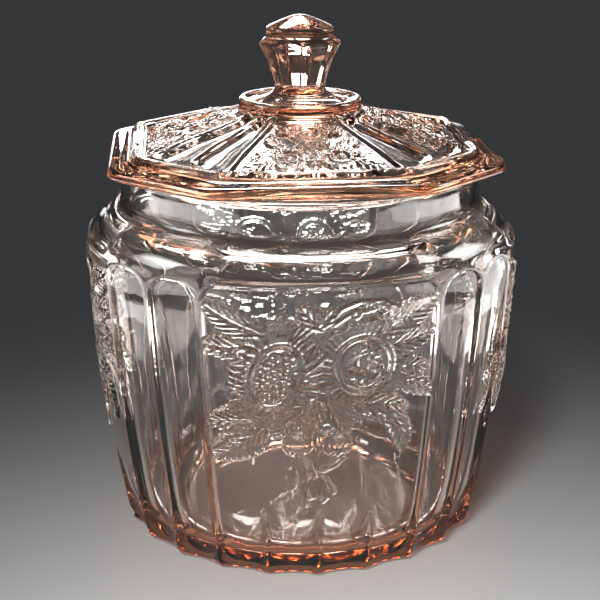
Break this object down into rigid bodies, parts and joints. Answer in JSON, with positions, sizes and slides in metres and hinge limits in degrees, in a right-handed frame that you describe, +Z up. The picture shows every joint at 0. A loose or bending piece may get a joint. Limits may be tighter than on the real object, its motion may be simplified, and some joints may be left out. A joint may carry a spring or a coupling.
{
  "type": "lidded glass jar",
  "caption": "Pink pressed-glass jar with a loose lid: fluted corners, rose relief panels, round neck, octagonal brim and a faceted knob.",
  "frame": {"origin": "centre of the jar's foot on the surface it stands on", "axes": "+Z up along the jar's axis; the four relief panels face -Y, +X, +Y and -X"},
  "size_m": [0.1578, 0.1578, 0.1892],
  "materials": {
    "jar_glass": "clear pale pink pressed glass, fire polished",
    "lid_glass": "clear pale pink pressed glass, fire polished"
  },
  "bodies": {
    "jar": {"jar": "jar_glass"},
    "lid": {"lid": "lid_glass"}
  },
  "joints": [
    {"name": "lid_lift", "type": "slide", "parent": "jar", "child": "lid", "axis": [0, 0, 1], "range_m": [0, 0.08]}
  ]
}
